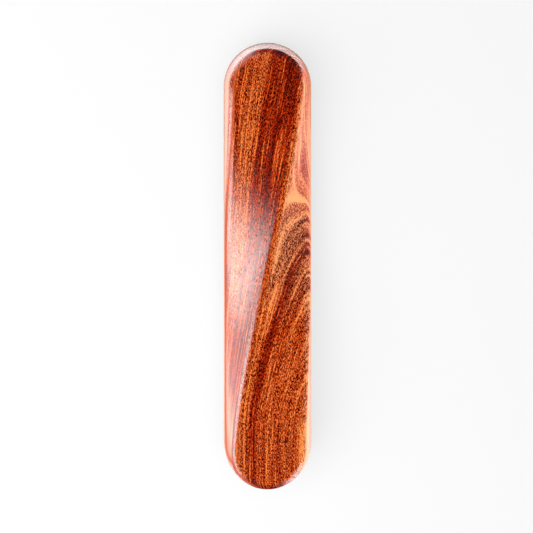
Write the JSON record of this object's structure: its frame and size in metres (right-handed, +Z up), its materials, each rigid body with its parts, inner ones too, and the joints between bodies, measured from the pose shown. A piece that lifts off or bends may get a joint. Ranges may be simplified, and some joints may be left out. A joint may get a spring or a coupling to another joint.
{
  "type": "wood edge slicker",
  "caption": "Solid hardwood bar with round ends and broad faces that make a quarter turn, leaving a diagonal crest, for rubbing leather edges smooth.",
  "frame": {"origin": "under the middle of the bar, on the plane it rests on", "axes": "+Y along the bar towards the end whose top crest lies on the +X side, +X across its width, +Z up through its thickness"},
  "size_m": [0.03, 0.1516, 0.02],
  "materials": {
    "polished_hardwood": "polished, clear-finished red-brown hardwood with ribbon figure and open pores"
  },
  "bodies": {
    "root": {"slicker_body": "polished_hardwood"}
  },
  "joints": []
}
